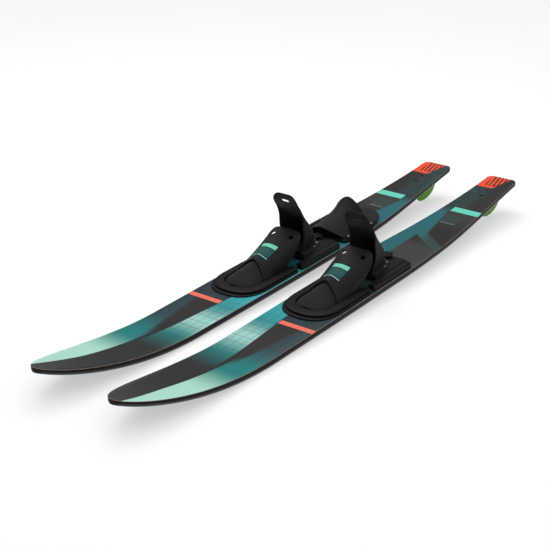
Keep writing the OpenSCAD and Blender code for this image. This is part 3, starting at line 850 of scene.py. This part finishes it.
def rounded_box(w, half_len, corner=9):
    """Outline of a box with rounded corners, centred on the origin."""
    points, steps = [], 6
    for cx, cy, first in ((1, 1, 0), (-1, 1, 90), (-1, -1, 180), (1, -1, 270)):
        for k in range(steps + 1):
            a = math.radians(first + 90 * k / steps)
            x = cx * (w - corner) + corner * math.cos(a)
            y = cy * (half_len - corner) + corner * math.sin(a)
            points.append((x, y))
    return points


# ------------------------------------------------------------------ toe piece


def toe_plan(w, depth, rear, corner):
    """Plan outline: a rounded bow, straight sides and rounded rear corners."""
    bow_line = [(w * bow(math.sin(a), 0.8), BOW_CENTRE - depth * math.cos(a) ** 0.8)
                for a in np.linspace(-math.pi / 2, math.pi / 2, 49)]
    sides = [(w, s) for s in np.linspace(BOW_CENTRE, rear - corner, 12)[1:-1]]
    arc = np.linspace(0, math.pi / 2, 7)
    right = [(w - corner + corner * math.cos(a), rear - corner + corner * math.sin(a)) for a in arc]
    left = [(-x, s) for x, s in right[::-1]]
    return bow_line + sides + right + left + [(-x, s) for x, s in sides[::-1]]


def plan_ring(w, depth, rear, corner, z):
    return [(x, s, z) for x, s in toe_plan(w, depth, rear, corner)]


def build_toe_plate(side):
    profile = [(0.6, DECK), (0, DECK + 0.6), (0, PLATE_TOP - 1.4), (0.4, PLATE_TOP - 0.5), (1.4, PLATE_TOP)]
    rings = [plan_ring(TOE_W - inset, TOE_BOW - inset, TOE_REAR - inset, TOE_CORNER, z)
             for inset, z in profile]
    plate = loft(side, rings, f"toe_plate_{side}", MATS["hard_plastic"], f"{side}_ski")
    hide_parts(f"toe_base_plate_{side}")


def ring_line(t, z):
    """A plan line of the clamp ring, a share t from its opening to its outer edge."""
    w, d = mix(OPENING_W, RING_W, t), mix(OPENING_BOW, RING_BOW, t)
    bow_line = [(w * bow(math.sin(a), 0.8), BOW_CENTRE - d * math.cos(a) ** 0.8, z)
                for a in np.linspace(-math.pi / 2, math.pi / 2, 61)]
    run = np.linspace(BOW_CENTRE, TOE_REAR - 3, 16)[1:]
    return [(-w, s, z) for s in run[::-1]] + bow_line + [(w, s, z) for s in run]


def build_ring(side, spots):
    """Clamp ring: a moulded bar swept round the bow, with a sloped outer face."""
    low, top = RING_BOTTOM, RING_BOTTOM + RING_T
    profile = [(0, low), (1, low), (1, low + 2.2), (0.96, low + 2.9), (0.72, top - 0.1), (0.6, top + 0.1),
               (0.2, top + 0.2), (0.06, top), (0, top - 0.9)]
    rings = [list(r) for r in zip(*(ring_line(t, z) for t, z in profile))]
    ring = loft(side, rings, f"toe_ring_{side}", MATS["hard_plastic"], f"{side}_ski")
    cut(ring, side, [prism(circle(4, 24, spot), RING_BOTTOM + 2.2, RING_BOTTOM + CUT) for spot in spots])
    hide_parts(f"toe_clamp_ring_{side}")


def arch(front, rear, wide, bulge, high, power, base, rows, cols):
    """Grid over an arch, as in the CAD: rows run along the foot and columns over it."""
    t = np.linspace(0, 1, rows)[:, None]
    a = np.linspace(math.pi, 0, cols)[None, :]
    p = power(t)
    q = np.abs(np.sin(a)) ** p
    s = mix(mix(front[0], front[1], q), mix(rear[0], rear[1], q ** rear[2]), t)
    u = (wide(s) + bulge(s) * ease(q / 0.6)) * bow(np.cos(a), p)
    return np.stack([u, s, base + high(s) * q], axis=2)


def flange_strips(from_s, to_s, inner, outer, low, high):
    """Two side strips of an upper that lie under its clamp."""
    parts = []
    for hand in (-1, 1):
        outline = [(hand * inner, from_s), (hand * outer, from_s), (hand * outer, to_s), (hand * inner, to_s)]
        parts.append(prism(outline, low, high))
    return parts


def build_toe_box(side):
    """Coated fabric cap over the toes. The sheet is held along its edges and blown out."""
    front, rear = TOE_FRONT + 42, TOE_FRONT + 144
    give = 1.2           # the sheet starts this much smaller, as the pressure swells it

    def wide(s):
        narrow = mix(BOX_W, BOX_REAR_W, ease((s - front - 35) / 28)) - give
        return narrow * (1 - (over(BOW_CENTRE - s) / 56) ** 2.5).clip(0.001) ** 0.4

    def high(s):
        return 8 - give + 36 * np.sin(np.radians(90 * (s - front) / (rear - front)))

    grid = arch((front, front), (rear, rear, 1), wide, lambda s: 0 * s, high,
                lambda t: mix(1, 1.5, ease(t / 0.6)), PLATE_TOP, 34, 45)
    rows, cols = grid.shape[:2]
    sheet = make(f"toe_box_{side}", to_world(side, grid.reshape(-1, 3)), grid_faces(rows, cols),
                 MATS["upper_fabric"], f"{side}_ski", smooth=60)
    border = [i for i in range(rows * cols)
              if i // cols in (0, rows - 1) or i % cols in (0, cols - 1)]
    inflate(sheet, 3, pinned=border)
    solid = sheet.modifiers.new("thickness", "SOLIDIFY")
    solid.thickness = SKIN * MM
    solid.offset = -1
    subdivide(sheet)
    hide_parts(f"toe_box_{side}")


def build_strap(side):
    """Instep strap: moulded rubber with relief ribs low on its sides and two finger holes."""
    front, rear = TOE_FRONT + 106, STRAP_REAR
    rib_pitch, rib_depth = 5.5, 0.9

    def high(s):
        return mix(STRAP_H - 30, STRAP_H, (s - front - 16) / 143)

    grid = arch((front - 0.5, front + 20), (TOE_FRONT + 179, rear, 0.95), lambda s: STRAP_W + 0 * s,
                lambda s: STRAP_BULGE * ease((s - front) / 169), high, lambda t: mix(1.49, 0.38, t),
                PLATE_TOP, 64, 90)
    lift = (grid[..., 2] - PLATE_TOP) / STRAP_H
    s = grid[..., 1]
    wave = np.sin((lift * STRAP_H - 6 * np.sin((s - 742) / 22)) * 2 * math.pi / rib_pitch)
    where = ease((lift - 0.06) / 0.06) * (1 - ease((lift - 0.42) / 0.1)) * (1 - ease((s - 790) / 14))
    grid = grid + normals(grid) * (rib_depth * wave * where * ease((s - front) / 6))[..., None]
    strips = flange_strips(front, TOE_REAR - 6, 47.5, 66, PLATE_TOP + 0.05, RING_BOTTOM - 0.05)
    strap = shell(side, grid, SKIN, f"toe_strap_{side}", STRAP_MATS[side], f"{side}_ski",
                  extra=strips, bead=0.5)
    apply_modifiers(strap)
    holes = []
    for turn in (-1, 1):
        lean = Matrix.Rotation(math.radians(14 * turn), 3, "Y")
        holes.append(prism(circle(FINGER_R, 32), -CUT, CUT, lean, (27 * turn, rear - 28, PLATE_TOP + 66)))
    cut(strap, side, holes)
    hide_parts(f"toe_strap_{side}")


# ------------------------------------------------------------------ heel unit


def cuff_at(x, v):
    """Plan of the cuff at share x of its height, v from -1 over the back to +1."""
    lean = CUFF_LEAN * ease((x / 1.005) ** 1.09)
    wide = CUFF_W + 6.5 * ease(x / 0.3) - 3 * ease((x - 0.75) / 0.25)
    deep = CUFF_DEEP - 56.3 * ease(x / 0.62) - 32.2 * ease((x - 0.4) / 0.39)
    a = np.radians(90 * v)
    return wide * bow(np.sin(a), 0.8), CUFF_BACK - lean - deep * (1 - np.abs(np.cos(a)) ** 0.9)


def cuff_off(x, v, off):
    """The same plan, moved `off` millimetres outward."""
    step = 0.02
    ax, ay = cuff_at(x, np.maximum(v - step, -1))
    bx, by = cuff_at(x, np.minimum(v + step, 1))
    tx, ty = bx - ax, by - ay
    size = np.hypot(tx, ty)
    u, s = cuff_at(x, v)
    return u - ty / size * off, s + tx / size * off


def cuff_grid(rows, cols):
    """Outer face: flange, fillet and wall up to the rounded rim."""
    v = np.linspace(1, -1, cols)
    rim = 1 - 0.16 * over((np.abs(v) - 0.15) / 0.85) ** 2.2
    foot = ((11, 2.2), (9, 3), (4, 3.2), (1.6, 4.2), (0.5, 6))
    lines = []
    for off, z in foot:
        u, s = cuff_off(0, v, off)
        lines.append(np.stack([u, s, np.full(cols, SLIDE_TOP + z)], axis=1))
    for x in np.linspace(0.055, 1, rows):
        share = rim * x
        u, s = cuff_off(share, v, 0)
        lines.append(np.stack([u, s, SLIDE_TOP + CUFF_H * share], axis=1))
    return np.array(lines)


def build_cuff(side):
    """Heel cuff with its pull slot cut square to the rubber."""
    cuff = shell(side, cuff_grid(60, 61), SKIN, f"heel_cuff_{side}", MATS["rubber"],
                 f"{side}_heel", bead=0.6)
    apply_modifiers(cuff)
    below, above = 0.03, 0.01
    away = cuff_at(PULL - below, 0)[1] - cuff_at(PULL + above, 0)[1]
    turn = Matrix.Rotation(-math.atan2((below + above) * CUFF_H, away), 3, "X")
    at = (0, cuff_at(PULL, 0)[1], SLIDE_TOP + CUFF_H * PULL)
    cut(cuff, side, [prism(stadium(7, 5), -CUT, CUT, turn, at)])
    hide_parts(f"heel_cuff_{side}")


def build_spring(side):
    """Coil under the lever's front arm."""
    turns, coil_r, wire_r, rise = 5, 2.8, 0.5, 8.3
    middle = SLIDE_FRONT + SLIDE_LEN - 23
    foot = SLIDE_TOP - 5
    rings = []
    for turn in np.linspace(0, turns, turns * 24 + 1):
        a = 2 * math.pi * turn
        height = foot + wire_r + 0.05 + rise * turn / turns
        ring = []
        for b in np.linspace(0, 2 * math.pi, 10, endpoint=False):
            reach = coil_r + wire_r * math.cos(b)
            ring.append((reach * math.cos(a), middle + reach * math.sin(a), height + wire_r * math.sin(b)))
        rings.append(ring)
    spring = loft(side, rings, f"coil_spring_{side}", MATS["steel"], f"{side}_heel", smooth=60)
    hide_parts(f"lever_spring_{side}")
    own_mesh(spring)


def pad(side, name, outline, low, high, body, cad):
    """Closed foam pad with a soft top, remeshed and blown out a little."""
    rings = []
    middle = np.mean(outline, axis=0)
    for share, z in ((0.97, low), (1, mix(low, high, 0.3)), (1, mix(low, high, 0.7)), (0.96, high)):
        rings.append([(middle[0] + (x - middle[0]) * share, middle[1] + (s - middle[1]) * share, z)
                      for x, s in outline])
    obj = loft(side, rings, name, MATS["foam"], body, smooth=60)
    remesh = obj.modifiers.new("remesh", "REMESH")
    remesh.mode = "VOXEL"
    remesh.voxel_size = PAD_VOXEL * MM
    apply_modifiers(obj)
    inflate(obj, 1)
    obj.data.shade_smooth()
    subdivide(obj)
    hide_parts(cad)


def build_pads(side):
    heel = [(25 * bow(math.cos(a), 0.8), SLIDE_FRONT + 54 + 26 * math.sin(a) ** 0.8)
            for a in np.linspace(0, math.pi, 25)] + [(-25, SLIDE_FRONT + 20), (25, SLIDE_FRONT + 20)]
    pad(side, f"heel_cushion_{side}", heel, SLIDE_TOP, SLIDE_TOP + 4, f"{side}_heel", f"heel_pad_{side}")
    foot = [(38 * bow(math.sin(a), 0.8), TOE_FRONT + 118 - 60 * math.cos(a) ** 0.8)
            for a in np.linspace(-math.pi / 2, math.pi / 2, 31)]
    foot += [(38, TOE_FRONT + 216), (-38, TOE_FRONT + 216)]
    pad(side, f"toe_cushion_{side}", foot, PLATE_TOP, PLATE_TOP + PAD_T, f"{side}_ski", f"toe_footbed_{side}")


# ------------------------------------------------------------------ rear toe strap


def build_hood():
    """Rubber arch over the rear foot's toes, with its two clamped strips."""
    foot = (REAR_FRONT + 14, REAR_FRONT + 134)

    def high(s):
        return mix(HOOD_H - 43, HOOD_H, (over(s - REAR_FRONT + 18) / 138) ** 3)

    def wide(s):
        return mix(HOOD_W, HOOD_REAR_W, ease((s - foot[0]) / (foot[1] - foot[0])))

    grid = arch((foot[0], REAR_FRONT - 18), (foot[1], REAR_FRONT + 120, 0.75), wide, lambda s: 0 * s,
                high, lambda t: mix(1.55, 1.24, t), REAR_TOP, 56, 71)
    strips = flange_strips(foot[0], REAR_FRONT + 142, 48.5, 71.5, REAR_TOP + 0.05, REAR_TOP + 3.45)
    hood = shell("right", grid, REAR_SKIN, "rear_hood", MATS["rubber"], "right_ski",
                 extra=strips, bead=0.6)
    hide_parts("rear_toe_hood")


def build_tongue():
    """Broad rounded flap that lies behind the hood and lifts a little towards its tip."""
    start, tip, turn = REAR_FRONT + 143, REAR_FRONT + 217, 60
    rows, cols = 30, 21
    lines = []
    for t in np.linspace(0, 1, rows):
        s = mix(start, tip - 0.6, 1 - (1 - t) ** 1.6)
        w = TONGUE_W * max(1 - (over(s - tip + turn) / turn) ** 2, 0.01) ** 0.5
        x = np.linspace(1, -1, cols)
        rise = 5 * ((s - start) / (tip - start)) ** 1.5
        lines.append(np.stack([12 + x * w, np.full(cols, s), REAR_TOP + 3.6 + rise + 0 * x], axis=1))
    tongue = shell("right", np.array(lines), REAR_SKIN - 0.1, "rear_pull_tongue", MATS["rubber"],
                   "right_ski", bead=0.3)
    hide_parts("rear_toe_tongue")


def build_rear_pad():
    half_len = 58
    outline = [(x, s + REAR_FRONT + 12 + half_len) for x, s in rounded_box(46, half_len, 10)]
    pad("right", "rear_cushion", outline, REAR_TOP, REAR_TOP + PAD_T, "right_ski", "rear_toe_pad")


# ------------------------------------------------------------------ CAD nodes that stay


def finish_cad_nodes():
    """Kept CAD nodes get their slot's material, and moulded ones get rounded edges."""
    for row in frame["record"]["subparts"]:
        obj = frame["nodes"][row["node"]]
        if obj.get("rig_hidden") or obj.hide_render:
            continue
        obj.data.materials.clear()
        obj.data.materials.append(MATS[row["material_slot"]])
        width = {"hard_plastic": 0.7, "steel": 0.25, "black_steel": 0.25}.get(row["material_slot"])
        if width and "spring" not in row["node"]:
            mod = obj.modifiers.new("rounded", "BEVEL")
            mod.width = width * MM
            mod.segments = 2
            mod.limit_method = "ANGLE"
            mod.angle_limit = math.radians(35)


def ring_spots():
    """Places of the clamp ring's screws: on each side, one on the bow and three along the edge."""
    bend = math.radians(40)
    across, deep = 57, 64
    front = [(across * math.sin(bend) ** 0.8, BOW_CENTRE - deep * math.cos(bend) ** 0.8)]
    spots = front + [(across, BOW_CENTRE + along) for along in (-4, 55, 116)]
    return spots + [(-x, s) for x, s in spots]


# ------------------------------------------------------------------ stage


def build_stage():
    """Pale floor under the fins and the front rocker, the white world and soft lights."""
    rest = 415           # the skis lie on their fins and on their bases here
    base = under_z(rest) + base_height
    slope = base / (FIN_AT - rest)
    size, gap = 12, 0.0015
    y_fin = (FIN_AT + tip_y) * MM
    mesh = bpy.data.meshes.new("floor")
    corners = [(-size, -size), (size, -size), (size, size), (-size, size)]
    mesh.from_pydata([(x, y, (y_fin - y) * slope - gap) for x, y in corners], [], [(0, 1, 2, 3)])
    floor = bpy.data.objects.new("floor", mesh)
    bpy.context.scene.collection.objects.link(floor)
    p = Paint("floor")
    p.shader.inputs["Emission Color"].default_value = (1, 1, 1, 1)
    p.shader.inputs["Emission Strength"].default_value = 0.5
    color = p.mix(p.noise(400, 2), rgb(184, 184, 185), rgb(188, 188, 189))
    mesh.materials.append(p.finish(color, 0.9, spec=0.1))

    build_world()
    add_light("key", (-1.2, 0.9, 2.6), 1.8, 26)
    add_light("fill", (2.4, -1.6, 2.0), 1.6, 7)


def build_world():
    """A white room for the camera; the light itself comes from a soft dome overhead."""
    world = bpy.data.worlds.new("studio")
    world.use_nodes = True
    tree = world.node_tree
    back = tree.nodes["Background"]
    ray = tree.nodes.new("ShaderNodeLightPath")
    split = tree.nodes.new("ShaderNodeSeparateXYZ")
    tree.links.new(tree.nodes.new("ShaderNodeTexCoord").outputs["Generated"], split.inputs[0])
    dome = tree.nodes.new("ShaderNodeMapRange")
    dome.interpolation_type = "SMOOTHSTEP"
    for name, value in (("From Min", 0.35), ("From Max", 0.85), ("To Min", 0.16), ("To Max", 1.25)):
        dome.inputs[name].default_value = value
    tree.links.new(split.outputs["Z"], dome.inputs["Value"])
    seen = tree.nodes.new("ShaderNodeMix")
    seen.inputs[3].default_value = 1.0
    tree.links.new(ray.outputs["Is Camera Ray"], seen.inputs[0])
    tree.links.new(dome.outputs["Result"], seen.inputs[2])
    tree.links.new(seen.outputs[0], back.inputs["Strength"])
    back.inputs["Color"].default_value = (1, 1, 1, 1)
    bpy.context.scene.world = world


def add_light(name, place, size, power):
    data = bpy.data.lights.new(name, "AREA")
    data.size = size
    data.energy = power
    light = bpy.data.objects.new(name, data)
    light.location = place
    light.rotation_euler = (Vector((0, 0, 0.05)) - Vector(place)).to_track_quat("-Z", "Y").to_euler()
    bpy.context.scene.collection.objects.link(light)


CAMERA_ANGLES = (36.96, 24.87, -0.79)   # azimuth, elevation and roll in degrees
CAMERA_LENS = 79.67
CAMERA_AWAY = 3.130
CAMERA_AIM = (-0.0756, -0.0545)


def build_camera():
    azimuth, elevation, roll = (math.radians(a) for a in CAMERA_ANGLES)
    back = Vector((math.sin(azimuth) * math.cos(elevation), -math.cos(azimuth) * math.cos(elevation),
                   math.sin(elevation)))
    level = Vector((math.cos(azimuth), math.sin(azimuth), 0))
    upright = back.cross(level)
    right = level * math.cos(roll) + upright * math.sin(roll)
    up = upright * math.cos(roll) - level * math.sin(roll)
    target = Vector((*CAMERA_AIM, (DECK + base_height) * MM))
    data = bpy.data.cameras.new("camera")
    data.sensor_width = 36
    data.lens = CAMERA_LENS
    data.clip_end = 50
    camera = bpy.data.objects.new("camera", data)
    turn = Matrix((right, up, back)).transposed().to_4x4()
    camera.matrix_world = Matrix.Translation(target + back * CAMERA_AWAY) @ turn
    bpy.context.scene.collection.objects.link(camera)
    bpy.context.scene.camera = camera


# ------------------------------------------------------------------ build

STRAP_MATS = {side: strap_paint(side) for side in SIDES}

for side in SIDES:
    build_ski(side)
    build_fin(side)
    build_toe_plate(side)
    build_ring(side, ring_spots())
    build_toe_box(side)
    build_strap(side)
    build_cuff(side)
    build_spring(side)
    build_pads(side)
build_hood()
build_tongue()
build_rear_pad()
finish_cad_nodes()
build_stage()
build_camera()
bpy.context.scene.view_settings.view_transform = "Standard"
